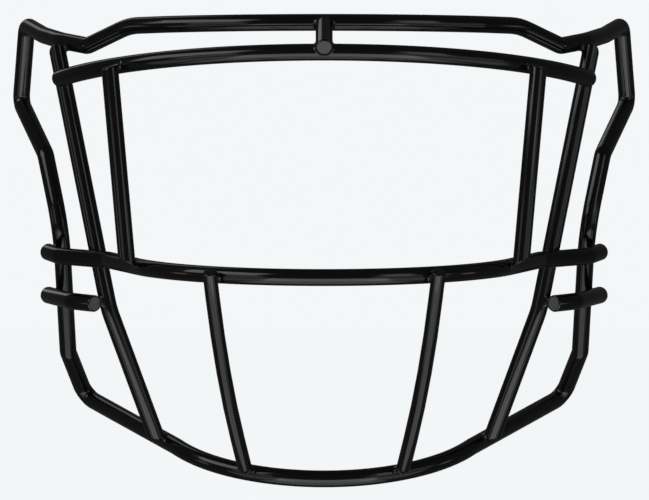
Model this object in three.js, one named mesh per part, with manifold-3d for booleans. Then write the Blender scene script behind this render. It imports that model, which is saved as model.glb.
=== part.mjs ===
// Face guard of an american football helmet, millimetres, +Z up.
// +X is to the right and -Y towards the viewer when the guard is seen from the front.
// The origin is on the centre line of the edge wire, at the middle of its top bar.
// The guard is one rigid weldment of coated steel wires: every wire and every weld is a solid.

import * as THREE from 'three';
import { mergeVertices } from 'three/addons/utils/BufferGeometryUtils.js';
import Module from 'manifold-3d';

const wasm = await Module();
wasm.setup();

// Stock, with its polymer coat
const WIRE_RADIUS = 7.15 / 2;
const LIGHT_WIRE_RADIUS = 6.06 / 2;
const TIGHT_BEND = 5;           // centre-line radius of a bend over the smallest mandrel
const EASY_BEND = 30;           // the same over the large mandrel
const WIDE_BEND = 260;          // the gentle bow of a mouth bar
const CLEARANCE = 0.3;          // between pieces that the welding joins
const SIDES = 10;               // facets round a wire
const FACET_TURN = THREE.MathUtils.degToRad(14);    // turn from one facet of a bend to the next

// Weld metal between two wires that cross
const WELD_REACH = 3.4;         // from the middle of a crossing, along the wires
const WELD_DEPTH = 1.7;         // the same, from one wire towards the other
const CUT_LENGTH = 6;           // the stock that a cut takes off beyond its middle

const POST_END = [0, -23, -10.7];       // middle of the post's front face

// Round bows across the front: radius in the bow's own plane, and that plane's pitch
const TOP_BOW = { radius: 113, pitch: -1.7, front: [0, 0, 0] };
const BROW_BOW = { radius: 123.2, pitch: -8.6, front: [0, -16.8, -12.6] };
const JAW_BOW = { radius: 84.8, pitch: 5, front: [0, -38.1, -106.9] };
const CHIN_BOW = { radius: 70.2, pitch: 20.7, front: [0, 28.4, -191.6] };
const TOP_BOW_HALF_WIDTH = 82;
const BROW_BOW_HALF_WIDTH = 111.7;
const JAW_BOW_HALF_WIDTH = 77.6;
const CHIN_BOW_HALF_WIDTH = 62;

const vector = (x, y, z) => new THREE.Vector3(x, y, z);
const mirrored = (points) => points.map((p) => vector(-p.x, p.y, p.z));
const symmetric = (rightHalf) => [...mirrored(rightHalf.slice(1)).reverse(), ...rightHalf];

// Points from the middle of a bow to its right end. The pitch lifts the bow's rear, in degrees.
function halfBow({ radius, pitch, front }, halfWidth) {
  const tilt = THREE.MathUtils.degToRad(pitch);
  const sweepAngle = Math.asin(halfWidth / radius);
  const facets = Math.ceil(sweepAngle / FACET_TURN);
  const points = [];
  for (let i = 0; i <= facets; i += 1) {
    const angle = sweepAngle * i / facets;
    const back = radius * (1 - Math.cos(angle));
    points.push(vector(
      front[0] + radius * Math.sin(angle),
      front[1] + back * Math.cos(tilt),
      front[2] + back * Math.sin(tilt),
    ));
  }
  return points;
}

// The arc that rounds the corner of a bent wire
function bend(before, corner, after, radius) {
  const into = corner.clone().sub(before).normalize();
  const out = after.clone().sub(corner).normalize();
  const turn = into.angleTo(out);
  const tangent = radius * Math.tan(turn / 2);
  const inward = out.clone().sub(into).normalize();
  const centre = corner.clone().addScaledVector(inward, radius / Math.cos(turn / 2));
  const start = corner.clone().addScaledVector(into, -tangent).sub(centre);
  const axis = into.clone().cross(out).normalize();
  const facets = Math.max(2, Math.ceil(turn / FACET_TURN));
  return Array.from({ length: facets + 1 }, (_, i) => (
    start.clone().applyAxisAngle(axis, turn * i / facets).add(centre)
  ));
}

// Rounds every inner corner [x, y, z, bend radius] of a run of straights
function bentRun(start, corners, end) {
  const marks = [start, ...corners.map(([x, y, z]) => vector(x, y, z)), end];
  return corners.flatMap(([, , , radius], i) => bend(marks[i], marks[i + 1], marks[i + 2], radius));
}

// A wire's centre line. Its sections stand at the points, so a straight run is one long facet.
class CentreLine extends THREE.Curve {
  constructor(points, closed = false) {
    super();
    this.points = closed ? [...points, points[0]] : points;
    this.closed = closed;
    this.steps = this.points.length - 1;
  }

  getPointAt(u, target = new THREE.Vector3()) {
    return target.copy(this.points[Math.round(u * this.steps)]);
  }

  getTangentAt(u, target = new THREE.Vector3()) {
    const i = Math.round(u * this.steps);
    const last = this.steps;
    const before = i > 0 ? this.points[i - 1] : this.points[this.closed ? last - 1 : 0];
    const after = i < last ? this.points[i + 1] : this.points[this.closed ? 1 : last];
    const here = this.points[i];
    const into = here.clone().sub(before).normalize();
    const out = after.clone().sub(here).normalize();
    return target.copy(into.add(out).normalize());
  }
}

// A polygon with the round wire's own area reaches a little past the wire at its corners
const polygonReach = (radius) => radius * Math.sqrt(2 * Math.PI / SIDES / Math.sin(2 * Math.PI / SIDES));

function wireGeometry({ line, radius }) {
  const reach = polygonReach(radius);
  if (line.closed) return new THREE.TubeGeometry(line, line.steps, reach, SIDES, true);
  const corners = Array.from({ length: SIDES }, (_, i) => {
    const angle = 2 * Math.PI * i / SIDES;
    return new THREE.Vector2(reach * Math.cos(angle), reach * Math.sin(angle));
  });
  const section = new THREE.Shape(corners);
  return new THREE.ExtrudeGeometry(section, { steps: line.steps, extrudePath: line });
}

// From a closed surface to a solid, and back
function toSolid(geometry) {
  const bare = geometry.clone();
  bare.deleteAttribute('normal');
  bare.deleteAttribute('uv');
  const merged = mergeVertices(bare, 1e-4);
  return new wasm.Manifold(new wasm.Mesh({
    numProp: 3,
    vertProperties: new Float32Array(merged.attributes.position.array),
    triVerts: new Uint32Array(merged.index.array),
  }));
}

function toGeometry(solid) {
  const mesh = solid.getMesh();
  const geometry = new THREE.BufferGeometry();
  geometry.setAttribute('position', new THREE.BufferAttribute(mesh.vertProperties, 3));
  geometry.setIndex(new THREE.BufferAttribute(mesh.triVerts, 1));
  return geometry;
}

// The point of a centre line that is nearest to a place
function nearestOn(line, place) {
  const stretch = new THREE.Line3();
  const points = line.points.slice(1).map((end, i) => (
    stretch.set(line.points[i], end).closestPointToPoint(place, true, new THREE.Vector3())
  ));
  return points.reduce((best, p) => (p.distanceTo(place) < best.distanceTo(place) ? p : best));
}

// Centre lines. Points are [x, y, z], and a bend's corner adds its radius.
const topBow = halfBow(TOP_BOW, TOP_BOW_HALF_WIDTH);
const chinBow = halfBow(CHIN_BOW, CHIN_BOW_HALF_WIDTH);
const jawBow = halfBow(JAW_BOW, JAW_BOW_HALF_WIDTH);

// The edge wire lies on the rim of the helmet's shell: it steps down past the brow, runs back over
// the temple, drops behind the cheek and comes forward again below the chin
const edgeSide = bentRun(topBow.at(-2), [
  [82, 35.3, -1.1, EASY_BEND],
  [99.6, 50, -9.4, TIGHT_BEND],
  [110.5, 65, -7.2, EASY_BEND],
  [118.5, 84.5, -4.6, EASY_BEND],
  [125.9, 105.5, -0.3, TIGHT_BEND],
  [128.6, 121, -32.7, TIGHT_BEND],
  [117.8, 85.6, -54.8, TIGHT_BEND],
  [111, 76.2, -87.5, EASY_BEND],
  [108.5, 110.6, -138.5, TIGHT_BEND],
  [101.3, 135.5, -157.5, TIGHT_BEND],
], chinBow.at(-1));
const edgeHalf = [...topBow.slice(0, -1), ...edgeSide, ...chinBow.reverse()];
const edgeLoop = [...edgeHalf, ...mirrored(edgeHalf.slice(1, -1)).reverse()];

const jawEnd = vector(116.8, 77.2, -96.1);
const jawCorners = [[90.7, 43.3, -99.6, TIGHT_BEND], [111.4, 65.4, -98, TIGHT_BEND]];
const jawHalf = [...jawBow, ...bentRun(jawBow.at(-1), jawCorners, jawEnd), jawEnd];

// Wires that stand on one side, given for the right one. A slanted end has the way that its cut
// faces; the end point is where the cut crosses the centre line.
const sideRuns = {
  side_bar: {
    radius: WIRE_RADIUS,
    start: [112.2, 59.4, -12.5],
    startCut: [0, 0.77, 0.64],
    corners: [[90.7, 59.1, -120.3, EASY_BEND]],
    end: [71.3, 68.5, -173],
    endCut: [0, 0.64, -0.77],
  },
  eye_bar: {
    radius: WIRE_RADIUS,
    start: [90, 12.1, -18.6],
    startCut: [0.3, 0, 1],
    corners: [],
    end: [82.7, 6.1, -100.6],
    endCut: [0.5, 0, -1],
  },
  mouth_bar: {
    radius: LIGHT_WIRE_RADIUS,
    start: [47.9, -33.1, -104.5],
    corners: [[42.7, -8.9, -148.3, WIDE_BEND]],
    end: [33.1, 31, -188],
  },
  stub_bar: {
    radius: WIRE_RADIUS,
    start: [96.6, 53.6, -118],
    corners: [[106.1, 63.9, -117, TIGHT_BEND]],
    end: [116.8, 90.5, -114.4],
  },
};

const coatedSteel = new THREE.MeshStandardMaterial({ color: 0x0b0b0b, roughness: 0.3, metalness: 0 });
const group = new THREE.Group();
const wires = {};

function addPiece(name, geometry) {
  const mesh = new THREE.Mesh(geometry, coatedSteel.clone());
  mesh.name = name;
  group.add(mesh);
}

// An open wire is cut to length from one that runs on past both ends. A cut is the way that it
// faces, and it is square to the wire where none is given.
function openWire({ line, radius, cuts }, clearance = 0) {
  const points = [...line.points];
  const waysOut = [
    points[0].clone().sub(points[1]).normalize(),
    points.at(-1).clone().sub(points.at(-2)).normalize(),
  ];
  const ends = [points.shift(), points.pop()];
  const [first, last] = ends.map((end, i) => end.clone().addScaledVector(waysOut[i], CUT_LENGTH));
  const uncut = new CentreLine([first, ...points, last]);
  let solid = toSolid(wireGeometry({ line: uncut, radius: radius + clearance }));
  ends.forEach((end, i) => {
    const inward = (cuts[i] ? vector(...cuts[i]) : waysOut[i].clone()).normalize().negate();
    solid = solid.trimByPlane(inward.toArray(), inward.dot(end) - clearance);
  });
  return solid;
}

function wireSolid(wire, clearance = 0) {
  if (!wire.line.closed) return openWire(wire, clearance);
  return toSolid(wireGeometry({ line: wire.line, radius: wire.radius + clearance }));
}

function addWire(name, line, radius = WIRE_RADIUS, cuts = []) {
  wires[name] = { line, radius, cuts };
  addPiece(name, toGeometry(wireSolid(wires[name])));
}

// What is cut away from a piece to leave it clear of a wire
const clearOf = (name) => wireSolid(wires[name], CLEARANCE);

addWire('edge_wire', new CentreLine(edgeLoop, true));
addWire('brow_bar', new CentreLine(symmetric(halfBow(BROW_BOW, BROW_BOW_HALF_WIDTH))));
addWire('jaw_bar', new CentreLine(symmetric(jawHalf)));

const flipped = (cut) => cut && [-cut[0], cut[1], cut[2]];
for (const [kind, { radius, start, corners, end, startCut, endCut }] of Object.entries(sideRuns)) {
  const first = vector(...start);
  const last = vector(...end);
  const points = [first, ...bentRun(first, corners, last), last];
  const cuts = [startCut, endCut];
  addWire(`${kind}_right`, new CentreLine(points), radius, cuts);
  addWire(`${kind}_left`, new CentreLine(mirrored(points)), radius, cuts.map(flipped));
}

// The short post butts on the top of the edge wire and sits astride the brow bar
const postLine = new CentreLine([vector(...TOP_BOW.front), vector(...POST_END)]);
const post = toSolid(wireGeometry({ line: postLine, radius: WIRE_RADIUS }));
addPiece('top_post', toGeometry(post.subtract(clearOf('edge_wire')).subtract(clearOf('brow_bar'))));

// A weld nugget fuses two wires. Its place is the middle of the gap where they come closest.
function addWeld(name, wireA, wireB, place) {
  const onA = nearestOn(wires[wireA].line, place);
  const towards = nearestOn(wires[wireB].line, place).sub(onA).normalize();
  const nugget = new THREE.SphereGeometry(1, 10, 6);
  nugget.scale(WELD_REACH, WELD_REACH, WELD_DEPTH);
  nugget.applyQuaternion(new THREE.Quaternion().setFromUnitVectors(vector(0, 0, 1), towards));
  nugget.translate(...place);
  const metal = toSolid(nugget).subtract(clearOf(wireA)).subtract(clearOf(wireB));
  addPiece(name, toGeometry(metal));
}

const crossings = [
  ['weld_edge_side_top', 'edge_wire', 'side_bar', [108.9, 58.3, -10.8]],
  ['weld_brow_side', 'brow_bar', 'side_bar', [109.2, 55.6, -22.5]],
  ['weld_brow_eye', 'brow_bar', 'eye_bar', [87.4, 15, -18.4]],
  ['weld_jaw_eye', 'jaw_bar', 'eye_bar', [79.3, 7.8, -102]],
  ['weld_jaw_side', 'jaw_bar', 'side_bar', [97.9, 56.5, -98.1]],
  ['weld_jaw_edge', 'jaw_bar', 'edge_wire', [113.5, 78.6, -94.8]],
  ['weld_jaw_mouth', 'jaw_bar', 'mouth_bar', [45.8, -28.2, -107.4]],
  ['weld_chin_mouth', 'edge_wire', 'mouth_bar', [31.4, 32.1, -186.8]],
  ['weld_chin_side', 'edge_wire', 'side_bar', [67.4, 67.6, -174]],
  ['weld_stub_edge', 'stub_bar', 'edge_wire', [113, 91.1, -113.4]],
  ['weld_stub_side', 'stub_bar', 'side_bar', [94.3, 56.6, -117.1]],
];
const onSide = (wire, side) => (wires[wire] ? wire : `${wire}_${side}`);
for (const [name, wireA, wireB, [x, y, z]] of crossings) {
  addWeld(`${name}_right`, onSide(wireA, 'right'), onSide(wireB, 'right'), vector(x, y, z));
  addWeld(`${name}_left`, onSide(wireA, 'left'), onSide(wireB, 'left'), vector(-x, y, z));
}

export default group;
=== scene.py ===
"""The looks of an american football helmet's face guard: coated steel wire, welded where it crosses."""

from math import asin, ceil, cos, pi, radians, sin, tan

import bpy
import numpy as np
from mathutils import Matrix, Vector


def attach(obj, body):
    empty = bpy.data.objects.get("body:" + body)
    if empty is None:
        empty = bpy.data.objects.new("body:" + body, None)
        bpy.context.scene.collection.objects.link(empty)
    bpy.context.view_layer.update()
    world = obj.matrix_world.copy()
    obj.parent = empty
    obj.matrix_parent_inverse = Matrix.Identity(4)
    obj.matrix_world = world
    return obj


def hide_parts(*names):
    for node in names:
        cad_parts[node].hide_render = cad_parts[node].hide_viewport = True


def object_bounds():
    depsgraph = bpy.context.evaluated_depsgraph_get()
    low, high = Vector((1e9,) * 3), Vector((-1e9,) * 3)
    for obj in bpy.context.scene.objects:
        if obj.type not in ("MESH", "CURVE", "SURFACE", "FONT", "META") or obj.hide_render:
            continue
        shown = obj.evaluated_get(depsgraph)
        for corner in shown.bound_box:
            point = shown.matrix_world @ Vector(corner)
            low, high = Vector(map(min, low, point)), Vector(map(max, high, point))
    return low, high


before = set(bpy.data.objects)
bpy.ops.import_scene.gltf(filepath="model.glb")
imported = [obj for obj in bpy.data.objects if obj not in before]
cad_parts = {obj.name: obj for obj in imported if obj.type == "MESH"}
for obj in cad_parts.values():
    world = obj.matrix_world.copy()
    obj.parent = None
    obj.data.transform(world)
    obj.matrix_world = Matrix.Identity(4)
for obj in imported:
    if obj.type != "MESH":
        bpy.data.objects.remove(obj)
cad_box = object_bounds()

# ---------------------------------------------------------------------------------------------
# Driving dimensions, in millimetres, the same as the CAD model's. +X right, +Y back, +Z up.
# ---------------------------------------------------------------------------------------------
MM = 0.001
WIRE_RADIUS = 7.15 / 2
LIGHT_WIRE_RADIUS = 6.06 / 2
TIGHT_BEND = 5
EASY_BEND = 30
WIDE_BEND = 260
EDGE_STRAIGHT = 14              # length left straight before the edge wire's first corner

# Round bows: radius in the bow's own plane, that plane's pitch in degrees, the front point, and
# half of the width
TOP_BOW = (113, -1.7, (0, 0, 0), 82)
BROW_BOW = (123.2, -8.6, (0, -16.8, -12.6), 111.7)
JAW_BOW = (84.8, 5, (0, -38.1, -106.9), 77.6)
CHIN_BOW = (70.2, 20.7, (0, 28.4, -191.6), 62)

# Corners are (x, y, z, bend radius)
EDGE_CORNERS = [
    (82, 35.3, -1.1, EASY_BEND),
    (99.6, 50, -9.4, TIGHT_BEND),
    (110.5, 65, -7.2, EASY_BEND),
    (118.5, 84.5, -4.6, EASY_BEND),
    (125.9, 105.5, -0.3, TIGHT_BEND),
    (128.6, 121, -32.7, TIGHT_BEND),
    (117.8, 85.6, -54.8, TIGHT_BEND),
    (111, 76.2, -87.5, EASY_BEND),
    (108.5, 110.6, -138.5, TIGHT_BEND),
    (101.3, 135.5, -157.5, TIGHT_BEND),
]
JAW_CORNERS = [(90.7, 43.3, -99.6, TIGHT_BEND), (111.4, 65.4, -98, TIGHT_BEND)]
JAW_END = (116.8, 77.2, -96.1)
POST_END = (0, -23, -10.7)

# Wires of one side, given for the right one. A cut is the way that a slanted end faces, and the
# end point is where it crosses the centre line. An end without a cut is square.
SIDE_WIRES = {
    "side_bar": {
        "radius": WIRE_RADIUS,
        "start": (112.2, 59.4, -12.5), "start_cut": (0, 0.77, 0.64),
        "corners": [(90.7, 59.1, -120.3, EASY_BEND)],
        "end": (71.3, 68.5, -173), "end_cut": (0, 0.64, -0.77),
    },
    "eye_bar": {
        "radius": WIRE_RADIUS,
        "start": (90, 12.1, -18.6), "start_cut": (0.3, 0, 1),
        "corners": [],
        "end": (82.7, 6.1, -100.6), "end_cut": (0.5, 0, -1),
    },
    "mouth_bar": {
        "radius": LIGHT_WIRE_RADIUS,
        "start": (47.9, -33.1, -104.5),
        "corners": [(42.7, -8.9, -148.3, WIDE_BEND)],
        "end": (33.1, 31, -188), "end_rim": 2.4,
    },
    "stub_bar": {
        "radius": WIRE_RADIUS,
        "start": (96.6, 53.6, -118),
        "corners": [(106.1, 63.9, -117, TIGHT_BEND)],
        "end": (116.8, 90.5, -114.4),
    },
}

# Where two wires of the right side are welded: the middle of the weld
WELDS = {
    "weld_edge_side_top": ("edge_wire", "side_bar", (108.9, 58.3, -10.8)),
    "weld_brow_side": ("brow_bar", "side_bar", (109.2, 55.6, -22.5)),
    "weld_brow_eye": ("brow_bar", "eye_bar", (87.4, 15, -18.4)),
    "weld_jaw_eye": ("jaw_bar", "eye_bar", (79.3, 7.8, -102)),
    "weld_jaw_side": ("jaw_bar", "side_bar", (97.9, 56.5, -98.1)),
    "weld_jaw_edge": ("jaw_bar", "edge_wire", (113.5, 78.6, -94.8)),
    "weld_jaw_mouth": ("jaw_bar", "mouth_bar", (45.8, -28.2, -107.4)),
    "weld_chin_mouth": ("edge_wire", "mouth_bar", (31.4, 32.1, -186.8)),
    "weld_chin_side": ("edge_wire", "side_bar", (67.4, 67.6, -174)),
    "weld_stub_edge": ("stub_bar", "edge_wire", (113, 91.1, -113.4)),
    "weld_stub_side": ("stub_bar", "side_bar", (94.3, 56.6, -117.1)),
}

# How fine the visual surface is
SIDES = 48                      # round a wire
BOW_STEP = radians(1.5)         # turn from one section of a bow to the next
BEND_STEP = radians(5)          # the same in a bend
RIM_STEPS = 6                   # sections of a rounded rim
RIM = 0.7                       # the coat rounds a cut end's rim to this radius
POST_RIM = 0.85

# Fillets of weld metal and coat
FILLET = 2.0                    # how far apart two surfaces may be and still blend
SINK = 0.03                     # a fillet's skirt lies this far under the wire's surface
WELD_REACH = 6.5                # from a weld's middle, along the wires
WELD_DEPTH = 2.8                # the same, from one wire towards the other
WELD_PITCH = 0.36               # the fillet's mesh
POST_FILLET = 1.6
POST_SKIRT = 1.4                # how far the post's fillet reaches from it
POST_TOP = 2.9                  # its top stays below the top of the edge wire
POST_PITCH = 0.3
NEAR = 30                       # stretches of wire further off than this don't reach a weld


def unit(vector):
    vector = np.asarray(vector, float)
    return vector / np.linalg.norm(vector)


def mirrored(points):
    return np.asarray(points, float) * (-1, 1, 1)


# ---------------------------------------------------------------------------------------------
# Centre lines
# ---------------------------------------------------------------------------------------------
def half_bow(bow):
    """Points from the middle of a bow to its right end."""
    radius, pitch, front, half_width = bow
    sweep = asin(half_width / radius)
    angle = np.linspace(0, sweep, ceil(sweep / BOW_STEP) + 1)
    back = radius * (1 - np.cos(angle))
    lean = radians(pitch)
    return np.stack([radius * np.sin(angle), back * cos(lean), back * sin(lean)], 1) + front


def bend(before, corner, after, radius):
    """The arc that rounds a corner."""
    into, out = unit(corner - before), unit(after - corner)
    turn = np.arccos(np.clip(into @ out, -1, 1))
    inward = unit(out - into)
    centre = corner + inward * radius / cos(turn / 2)
    start = corner - into * radius * tan(turn / 2) - centre
    side = into * radius
    angle = np.linspace(0, turn, max(3, ceil(turn / BEND_STEP) + 1))[:, None]
    return centre + start * np.cos(angle) + side * np.sin(angle)


def bent_run(start, corners, end):
    """The arcs of a run of straights from start to end, which aren't in it themselves."""
    marks = [np.array(start, float), *[np.array(c[:3], float) for c in corners], np.array(end, float)]
    arcs = [bend(*marks[i:i + 3], corner[3]) for i, corner in enumerate(corners)]
    return np.concatenate(arcs)


def symmetric(right_half):
    return np.concatenate([mirrored(right_half[:0:-1]), right_half])


def edge_loop():
    """Round the whole guard: over the top, down the right side, along the chin and up the left."""
    top, chin = half_bow(TOP_BOW), half_bow(CHIN_BOW)
    bow_end = top[np.searchsorted(top[:, 0], EDGE_CORNERS[0][0] - EDGE_STRAIGHT)]
    kept = top[top[:, 0] < bow_end[0]]
    side = bent_run(bow_end, EDGE_CORNERS, chin[-1])
    half = np.concatenate([kept, side, chin[::-1]])
    return np.concatenate([half, mirrored(half[-2:0:-1])])


def jaw_line():
    bow = half_bow(JAW_BOW)
    return symmetric(np.concatenate([bow, bent_run(bow[-1], JAW_CORNERS, JAW_END), [JAW_END]]))


# ---------------------------------------------------------------------------------------------
# Wires
# ---------------------------------------------------------------------------------------------
class Wire:
    """A round wire on a centre line, with a flat cut and a rounded rim at each open end."""

    def __init__(self, points, radius=WIRE_RADIUS, closed=False, cuts=(None, None), rims=(RIM, RIM)):
        self.points = np.asarray(points, float)
        self.radius = radius
        self.closed = closed
        self.tangents = self.directions()
        ways_out = (-self.tangents[0], self.tangents[-1])
        self.cuts = [unit(way if cut is None else cut) for way, cut in zip(ways_out, cuts)]
        self.rims = rims

    def directions(self):
        points = self.points
        if self.closed:
            steps = np.roll(points, -1, 0) - points
            steps /= np.linalg.norm(steps, axis=1)[:, None]
            both = steps + np.roll(steps, 1, 0)
        else:
            steps = np.diff(points, axis=0)
            steps /= np.linalg.norm(steps, axis=1)[:, None]
            both = np.concatenate([steps[:1], steps]) + np.concatenate([steps, steps[-1:]])
        return both / np.linalg.norm(both, axis=1)[:, None]

    def sections(self):
        """The two directions across the wire at each point, carried along it without a twist."""
        across = np.cross(self.tangents[0], (0, 0.1, 1))
        found = []
        for tangent in self.tangents:
            across = unit(across - tangent * (across @ tangent))
            found.append((across, np.cross(tangent, across)))
        return found

    def end_rings(self, last, rays):
        """Sections that round off an open end, from the wall to the flat of the cut."""
        point, cut, rim = self.points[-last], self.cuts[last], self.rims[last]
        way_out = self.tangents[-last] * (1 if last else -1)
        rings = []
        for turn in np.linspace(0, pi / 2, RIM_STEPS + 1):
            spread = rays * (self.radius - rim * (1 - cos(turn)))
            along = -(spread @ cut) / (way_out @ cut) - rim * (1 - sin(turn))
            rings.append(point + spread + along[:, None] * way_out)
        return rings

    def mesh(self):
        """Vertices, faces and the number of the last faces that are flat caps."""
        angle = np.linspace(0, 2 * pi, SIDES, endpoint=False)[:, None]
        rays = [a * np.cos(angle) + b * np.sin(angle) for a, b in self.sections()]
        rings = [p + self.radius * ray for p, ray in zip(self.points, rays)]
        if not self.closed:
            rings[:1] = self.end_rings(0, rays[0])[::-1]
            rings[-1:] = self.end_rings(1, rays[-1])
        count = len(rings)
        faces = []
        for i in range(count if self.closed else count - 1):
            here, there = i * SIDES, (i + 1) % count * SIDES
            for k in range(SIDES):
                after = (k + 1) % SIDES
                faces.append((here + k, here + after, there + after, there + k))
        caps = 0
        if not self.closed:
            first = list(range(SIDES))
            faces += [first[::-1], [(count - 1) * SIDES + k for k in first]]
            caps = 2
        return np.concatenate(rings), faces, caps

    def line_near(self, place):
        """The straight pieces of the centre line near a place, run on past the open ends."""
        points = self.points
        if self.closed:
            points = np.concatenate([points, points[:1]])
        else:
            run_on = 4 * self.radius
            first = points[0] - self.tangents[0] * run_on
            last = points[-1] + self.tangents[-1] * run_on
            points = np.concatenate([[first], points, [last]])
        starts, ends = points[:-1], points[1:]
        step = ends - starts
        share = np.clip(((place - starts) * step).sum(1) / (step * step).sum(1), 0, 1)
        near = np.linalg.norm(starts + share[:, None] * step - place, axis=1) < NEAR
        return starts[near], step[near]

    def nearest(self, place):
        """The centre line's nearest point to a place."""
        starts, step = self.line_near(np.array(place, float))
        share = np.clip(((place - starts) * step).sum(1) / (step * step).sum(1), 0, 1)
        points = starts + share[:, None] * step
        return points[np.argmin(np.linalg.norm(points - place, axis=1))]

    def distance(self, place):
        """A function: how far points near a place are outside the wire, below zero inside."""
        starts, step = self.line_near(np.array(place, float))
        lengths = (step * step).sum(1)

        def field(points):
            best = np.full(len(points), np.inf)
            for start, along, length in zip(starts, step, lengths):
                offset = points - start
                share = np.clip(offset @ along / length, 0, 1)
                best = np.minimum(best, np.linalg.norm(offset - share[:, None] * along, axis=1))
            best -= self.radius
            if not self.closed:
                for last in (0, 1):
                    best = np.maximum(best, (points - self.points[-last]) @ self.cuts[last])
            return best

        return field


def side_wire(start, corners, end, radius, start_cut=None, end_cut=None, end_rim=RIM, flip=False):
    arcs = [bent_run(start, corners, end)] if corners else []
    points = np.concatenate([[start], *arcs, [end]])
    cuts = (start_cut, end_cut)
    if flip:
        points = mirrored(points)
        cuts = [cut if cut is None else mirrored(cut) for cut in cuts]
    return Wire(points, radius, cuts=cuts, rims=(RIM, end_rim))


def all_wires():
    wires = {
        "edge_wire": Wire(edge_loop(), closed=True),
        "brow_bar": Wire(symmetric(half_bow(BROW_BOW))),
        "jaw_bar": Wire(jaw_line()),
    }
    for kind, sizes in SIDE_WIRES.items():
        wires[f"{kind}_right"] = side_wire(**sizes)
        wires[f"{kind}_left"] = side_wire(**sizes, flip=True)
    return wires


# ---------------------------------------------------------------------------------------------
# Welds and the post, whose surfaces run smoothly into the wires
# ---------------------------------------------------------------------------------------------
def smooth_min(a, b, blend):
    share = np.maximum(blend - np.abs(a - b), 0) / blend
    return np.minimum(a, b) - share * share * blend / 4


def surface_net(field, low, high, pitch):
    """A closed mesh of the surface where field is zero, with one vertex in each cell it crosses."""
    low = np.array(low, float)
    axes = [np.arange(a, b + pitch, pitch) for a, b in zip(low, high)]
    grid = np.stack(np.meshgrid(*axes, indexing="ij"), -1)
    value = field(grid.reshape(-1, 3)).reshape(grid.shape[:3])
    cells = np.array(value.shape) - 1
    total, count = np.zeros((*cells, 3)), np.zeros(cells, int)
    crossings = []
    for axis in range(3):
        near = np.take(value, range(cells[axis]), axis)
        far = np.take(value, range(1, cells[axis] + 1), axis)
        hits = np.argwhere((near < 0) != (far < 0))
        a, b = near[tuple(hits.T)], far[tuple(hits.T)]
        points = low + pitch * (hits + (a / (a - b))[:, None] * np.eye(3)[axis])
        u, v = np.roll(np.eye(3, dtype=int), -axis - 1, 0)[:2]
        around = [hits - u - v, hits - v, hits, hits - u]
        for cell in around:
            np.add.at(total, tuple(cell.T), points)
            np.add.at(count, tuple(cell.T), 1)
        crossings.append((around, a < 0))
    used = count > 0
    number = np.full(cells, -1)
    number[used] = np.arange(used.sum())
    vertices = total[used] / count[used][:, None]
    faces = []
    for around, leaving in crossings:
        quads = np.stack([number[tuple(cell.T)] for cell in around], 1)
        quads[~leaving] = quads[~leaving, ::-1]
        faces.append(quads)
    return settled(vertices, field, pitch), np.concatenate(faces).tolist()


def settled(vertices, field, pitch):
    """Vertices moved onto the zero surface along the field's slope."""
    probe = pitch / 20
    for _ in range(3):
        value = field(vertices)
        slope = np.stack([(field(vertices + probe * way) - value) / probe for way in np.eye(3)], 1)
        steepness = np.maximum((slope * slope).sum(1), 0.25)
        move = -(value / steepness)[:, None] * slope
        length = np.maximum(np.linalg.norm(move, axis=1), 1e-9)[:, None]
        vertices = vertices + move * np.minimum(1, pitch / 2 / length)
    return vertices


def weld_mesh(wire_a, wire_b, place):
    """The metal and coat that fill the groove round the place where two wires touch."""
    place = np.array(place, float)
    towards = unit(wire_b.nearest(place) - wire_a.nearest(place))
    outside_a, outside_b = wire_a.distance(place), wire_b.distance(place)

    def field(points):
        offset = points - place
        deep = offset @ towards
        wide = np.linalg.norm(offset - deep[:, None] * towards, axis=1)
        skin = smooth_min(outside_a(points), outside_b(points), FILLET) + SINK
        return np.max([skin, np.abs(deep) - WELD_DEPTH, wide - WELD_REACH], 0)

    reach = WELD_REACH + 1
    return surface_net(field, place - reach, place + reach, WELD_PITCH)


def post_mesh(edge_wire, brow_bar):
    """The short post, run into the edge wire behind it and the brow bar that it sits astride."""
    end, way_out = np.array(POST_END, float), unit(POST_END)
    length = np.linalg.norm(POST_END)
    outside_edge, outside_brow = edge_wire.distance((0, 0, 0)), brow_bar.distance(BROW_BOW[2])

    def field(points):
        offset = points - end
        along = offset @ way_out
        wide = np.linalg.norm(offset - along[:, None] * way_out, axis=1)
        past = np.stack([wide - WIRE_RADIUS + POST_RIM, along + POST_RIM], 1)
        rounded = np.linalg.norm(np.maximum(past, 0), axis=1) + np.minimum(past.max(1), 0) - POST_RIM
        post = np.maximum(rounded, -along - length)
        wires = np.minimum(outside_edge(points), outside_brow(points)) + SINK
        run_in = smooth_min(post, wires, POST_FILLET)
        return np.max([run_in, post - POST_SKIRT, points[:, 2] - POST_TOP], 0)

    room = WIRE_RADIUS + POST_SKIRT + 1
    low = np.minimum(end, (0, 0, 0)) - room
    high = np.maximum(end, (0, 0, 0)) + room
    return surface_net(field, low, high, POST_PITCH)


# ---------------------------------------------------------------------------------------------
# Materials
# ---------------------------------------------------------------------------------------------
COAT_BLACK = (0.0032, 0.003, 0.0028)
COAT_IOR = 1.5
WIRE_ROUGHNESS, WIRE_PEEL = 0.12, 0.004     # the orange peel's depth is in millimetres
WELD_ROUGHNESS, WELD_PEEL = 0.16, 0.006
FLOOR_SHADE = 0.05                          # how much of the lights the floor gives back
FLOOR_GLOW = 0.985                          # and how bright it is by itself
PALE = (0.905, 0.925, 0.94)                 # floor and backdrop


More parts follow.
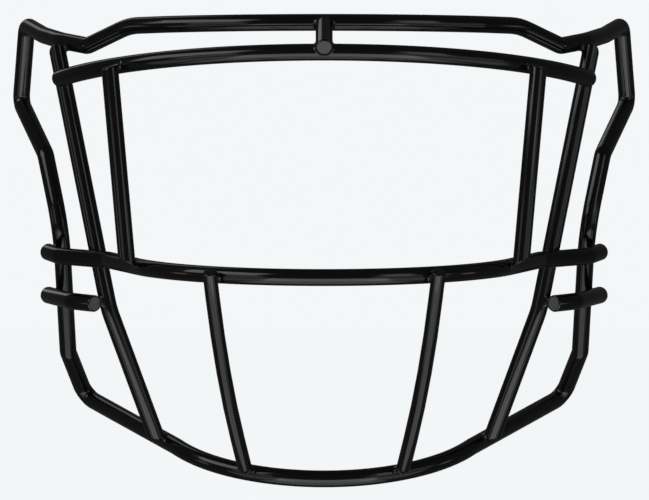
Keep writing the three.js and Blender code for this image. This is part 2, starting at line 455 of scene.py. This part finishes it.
def coat_material(name, colour, roughness, peel):
    """Gloss black polymer coat: deep, a little uneven in its gloss, with a faint orange peel."""
    material = bpy.data.materials.new(name)
    material.use_nodes = True
    nodes, links = material.node_tree.nodes, material.node_tree.links
    shader = nodes["Principled BSDF"]
    shader.inputs["IOR"].default_value = COAT_IOR
    shader.inputs["Specular IOR Level"].default_value = 0.5
    place = nodes.new("ShaderNodeTexCoord").outputs["Object"]

    def noise(scale, detail):
        node = nodes.new("ShaderNodeTexNoise")
        node.inputs["Scale"].default_value = scale
        node.inputs["Detail"].default_value = detail
        links.new(place, node.inputs["Vector"])
        return node.outputs["Fac"]

    def spread(source, low, high):
        node = nodes.new("ShaderNodeMapRange")
        node.inputs["From Min"].default_value = 0.3
        node.inputs["From Max"].default_value = 0.7
        node.inputs["To Min"].default_value = low
        node.inputs["To Max"].default_value = high
        links.new(source, node.inputs["Value"])
        return node.outputs["Result"]

    # The pigment: black, a shade warmer where the coat is thin
    tint = nodes.new("ShaderNodeMix")
    tint.data_type = "RGBA"
    tint.inputs["A"].default_value = (*colour, 1)
    tint.inputs["B"].default_value = (colour[0] * 1.5, colour[1] * 1.35, colour[2] * 1.2, 1)
    links.new(spread(noise(90, 3), 0, 1), tint.inputs["Factor"])
    links.new(tint.outputs["Result"], shader.inputs["Base Color"])

    # Gloss: patches where the coat flowed out better, and a fine grain
    patches = spread(noise(120, 2), roughness * 0.9, roughness * 1.1)
    grain = spread(noise(4200, 2), -0.02, 0.02)
    gloss = nodes.new("ShaderNodeMath")
    links.new(patches, gloss.inputs[0])
    links.new(grain, gloss.inputs[1])
    links.new(gloss.outputs["Value"], shader.inputs["Roughness"])

    # Orange peel about 1.5 mm across, over a finer texture
    relief = None
    for scale, depth in ((650, peel), (2600, peel * 0.22)):
        bump = nodes.new("ShaderNodeBump")
        bump.inputs["Strength"].default_value = 1
        bump.inputs["Distance"].default_value = depth * MM
        links.new(noise(scale, 1), bump.inputs["Height"])
        if relief:
            links.new(relief, bump.inputs["Normal"])
        relief = bump.outputs["Normal"]
    links.new(relief, shader.inputs["Normal"])
    return material


def floor_material():
    """Evenly pale, with a faint share of the lights and of the guard's shadow."""
    material = bpy.data.materials.new("floor")
    material.use_nodes = True
    shader = material.node_tree.nodes["Principled BSDF"]
    shader.inputs["Base Color"].default_value = (*[FLOOR_SHADE * c for c in PALE], 1)
    shader.inputs["Roughness"].default_value = 0.9
    shader.inputs["Specular IOR Level"].default_value = 0
    shader.inputs["Emission Color"].default_value = (*PALE, 1)
    shader.inputs["Emission Strength"].default_value = FLOOR_GLOW
    return material


def add_piece(node, mesh_data, material):
    """A visual piece that stands for a CAD node."""
    vertices, faces, *caps = mesh_data
    mesh = bpy.data.meshes.new(f"{node}_coated")
    mesh.from_pydata((vertices * MM).tolist(), [], faces)
    mesh.shade_smooth()
    for face in mesh.polygons[len(faces) - sum(caps):] if sum(caps) else []:
        face.use_smooth = False
    mesh.materials.append(material)
    piece = bpy.data.objects.new(f"{node}_coated", mesh)
    bpy.context.scene.collection.objects.link(piece)
    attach(piece, "root")
    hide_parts(node)


# ---------------------------------------------------------------------------------------------
# Stage: pale floor and backdrop, soft lights, camera
# ---------------------------------------------------------------------------------------------
FLOOR_SIZE = 60                 # metres
ROOM_GLOW = 0.06                # of the dim room round the lights

# Soft lights: bearing from the front (right is +), elevation, width and height, all in degrees,
# and brightness. Together they make the streaks on the coat; behind_left makes the post's.
LIGHTS = {
    "low_front": (2, -37, 62, 37, 1.7),
    "low_left": (-51, -37, 40, 37, 0.55),
    "low_right": (55, -37, 40, 37, 0.6),
    "underneath": (0, -77, 56, 42, 1.0),
    "upper_left": (-60, 30, 44, 30, 1.9),
    "upper_right": (41, 17, 17, 26, 1.0),
    "side_left": (-46, -1, 26, 20, 0.6),
    "side_right": (50, -1, 46, 20, 0.45),
    "far_left": (-86, -6, 9, 10, 1.1),
    "far_right": (86, -6, 9, 10, 1.1),
    "behind_left": (-152, 37, 12, 40, 0.7),
}
LIGHT_DISTANCE = 3.0            # metres

VIEW_WIDTH = 0.27377            # metres across the picture, at the view's centre
VIEW_CENTRE = Vector((0.00015, 0.065, -0.0954))
LENS = 1320                     # a long lens, which sees the guard from 10 m off
SENSOR = 36


def bearing(azimuth, elevation):
    """The direction from the guard: azimuth 0 is the front, and to the right is +."""
    a, e = radians(azimuth), radians(elevation)
    return Vector((sin(a) * cos(e), -cos(a) * cos(e), sin(e)))


def add_lights(centre):
    for name, (azimuth, elevation, width, height, brightness) in LIGHTS.items():
        data = bpy.data.lights.new(name, "AREA")
        data.shape = "RECTANGLE"
        data.size = 2 * LIGHT_DISTANCE * tan(radians(width / 2))
        data.size_y = 2 * LIGHT_DISTANCE * tan(radians(height / 2))
        data.energy = brightness * pi * data.size * data.size_y
        light = bpy.data.objects.new(name, data)
        way = bearing(azimuth, elevation)
        light.location = centre + way * LIGHT_DISTANCE
        light.rotation_euler = way.to_track_quat("Z", "Y").to_euler()
        light.visible_camera = False
        bpy.context.scene.collection.objects.link(light)


def add_floor(height):
    bpy.ops.mesh.primitive_grid_add(size=FLOOR_SIZE, location=(0, 0, height))
    floor = bpy.context.object
    floor.name = "floor"
    floor.data.materials.append(floor_material())
    floor.visible_glossy = False
    floor.visible_diffuse = False
    floor.visible_shadow = False


def add_world():
    """A pale backdrop that the camera sees, in a dim room that the coat reflects."""
    world = bpy.data.worlds.new("studio")
    world.use_nodes = True
    nodes, links = world.node_tree.nodes, world.node_tree.links
    room = nodes["Background"]
    room.inputs["Color"].default_value = (1, 1, 1, 1)
    room.inputs["Strength"].default_value = ROOM_GLOW
    backdrop = nodes.new("ShaderNodeBackground")
    backdrop.inputs["Color"].default_value = (*PALE, 1)
    ray = nodes.new("ShaderNodeLightPath")
    mix = nodes.new("ShaderNodeMixShader")
    links.new(ray.outputs["Is Camera Ray"], mix.inputs["Fac"])
    links.new(room.outputs["Background"], mix.inputs[1])
    links.new(backdrop.outputs["Background"], mix.inputs[2])
    links.new(mix.outputs["Shader"], nodes["World Output"].inputs["Surface"])
    bpy.context.scene.world = world


def add_camera():
    data = bpy.data.cameras.new("camera")
    data.lens = LENS
    data.sensor_width = SENSOR
    distance = VIEW_WIDTH * LENS / SENSOR
    data.clip_end = 3 * distance
    camera = bpy.data.objects.new("camera", data)
    camera.location = VIEW_CENTRE - Vector((0, distance, 0))
    camera.rotation_euler = (radians(90), 0, 0)
    bpy.context.scene.collection.objects.link(camera)
    bpy.context.scene.camera = camera


# ---------------------------------------------------------------------------------------------
# The guard
# ---------------------------------------------------------------------------------------------
add_camera()
wire_coat = coat_material("wire_coat", COAT_BLACK, WIRE_ROUGHNESS, WIRE_PEEL)
weld_coat = coat_material("weld_coat", COAT_BLACK, WELD_ROUGHNESS, WELD_PEEL)

wires = all_wires()
for name, wire in wires.items():
    add_piece(name, wire.mesh(), wire_coat)
add_piece("top_post", post_mesh(wires["edge_wire"], wires["brow_bar"]), wire_coat)
for name, (a, b, place) in WELDS.items():
    for side, at in (("right", np.array(place)), ("left", mirrored(place))):
        pair = [wires.get(wire) or wires[f"{wire}_{side}"] for wire in (a, b)]
        add_piece(f"{name}_{side}", weld_mesh(*pair, at), weld_coat)

add_floor(cad_box[0].z)
add_lights((cad_box[0] + cad_box[1]) / 2)
add_world()
bpy.context.scene.view_settings.view_transform = "Standard"
